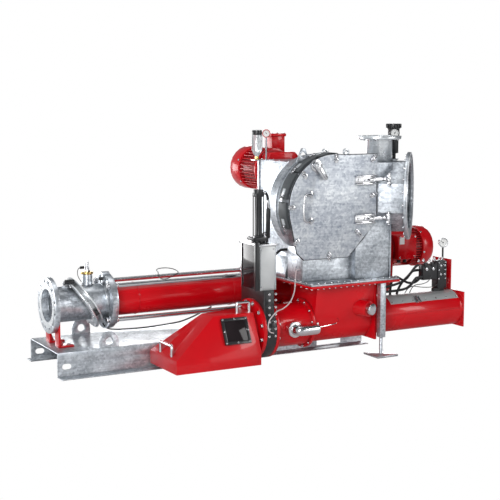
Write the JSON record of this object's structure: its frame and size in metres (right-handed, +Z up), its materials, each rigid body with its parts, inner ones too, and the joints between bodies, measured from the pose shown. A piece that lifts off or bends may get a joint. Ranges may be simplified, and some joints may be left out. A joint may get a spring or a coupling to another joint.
{
  "type": "screw feeder",
  "caption": "Red and galvanised screw feeder with a round door, a pump line, a debris hood and a slanted inlet on one base.",
  "frame": {"origin": "on the floor, at the middle of the machine's length and depth", "axes": "+X from the discharge flange along the pump to the motor, -Y the side of the door, +Z up"},
  "size_m": [2.86, 1.32, 1.48],
  "materials": {
    "red_paint": "gloss signal red",
    "galvanised": "galvanised, bluish, with spangle",
    "bright_steel": "bright",
    "black_paint": "satin black",
    "dark_band": "satin dark grey",
    "light_grey": "satin",
    "smoked_pane": "smoked and glossy",
    "clear_plastic": "clear",
    "black_rubber": "matt",
    "lead_grey": "pale cable sheath"
  },
  "bodies": {
    "machine": {"base_frame": "galvanised", "discharge_pipe": "galvanised", "sensor_pipe": "galvanised", "oblique_collar": "galvanised", "discharge_support": "red_paint", "pressure_sensor": "bright_steel", "stator_clamp": "galvanised", "stator_tube": "red_paint", "tie_rods": "bright_steel", "pump_casing": "red_paint", "casing_saddle": "red_paint", "trough_flange": "red_paint", "screw_trough": "red_paint", "branch_cap": "bright_steel", "trough_tube": "red_paint", "support_leg": "galvanised", "levelling_foot": "galvanised", "debris_hood": "red_paint", "hood_flange": "red_paint", "hood_window": "smoked_pane", "gate_valve_body": "black_paint", "debris_pipe": "red_paint", "guard_cover": "light_grey", "guard_sides": "smoked_pane", "guard_top_plate": "bright_steel", "gate_cylinder": "black_paint", "housing_lip": "galvanised", "housing_rear": "galvanised", "housing_front": "galvanised", "rear_chute": "galvanised", "drum_shell": "galvanised", "drum_band": "dark_band", "hinge_bracket_upper": "bright_steel", "hinge_bracket_lower": "bright_steel", "inlet_duct": "galvanised", "inlet_flange": "galvanised", "top_nozzle": "galvanised", "mixer_gearbox": "red_paint", "mixer_motor": "red_paint", "mixer_terminal_box": "red_paint", "drive_adapter": "red_paint", "pump_gearbox": "red_paint", "pump_motor": "red_paint", "pump_terminal_box": "red_paint", "drain_elbow": "bright_steel", "oil_reservoir": "clear_plastic", "reservoir_bracket": "galvanised", "air_regulator": "black_paint", "regulator_bar": "galvanised", "hydraulic_block": "black_paint", "hydraulic_bracket": "red_paint", "hydraulic_hose_1": "black_rubber", "hydraulic_hose_2": "black_rubber", "gate_hose": "black_rubber", "sensor_lead": "lead_grey"},
    "door": {"door": "galvanised", "door_strap_upper": "bright_steel", "door_strap_lower": "bright_steel", "door_handle": "bright_steel"},
    "latch": {"door_latch": "bright_steel"}
  },
  "joints": [
    {"name": "door_hinge", "type": "hinge", "parent": "machine", "child": "door", "pos_m": [0.645, -0.555, 1.0135], "axis": [0, 0, 1], "range_deg": [0, 100]},
    {"name": "latch_turn", "type": "hinge", "parent": "door", "child": "latch", "pos_m": [0.123, -0.53, 1.238], "axis": [0, 1, 0], "range_deg": [-90, 0]}
  ]
}
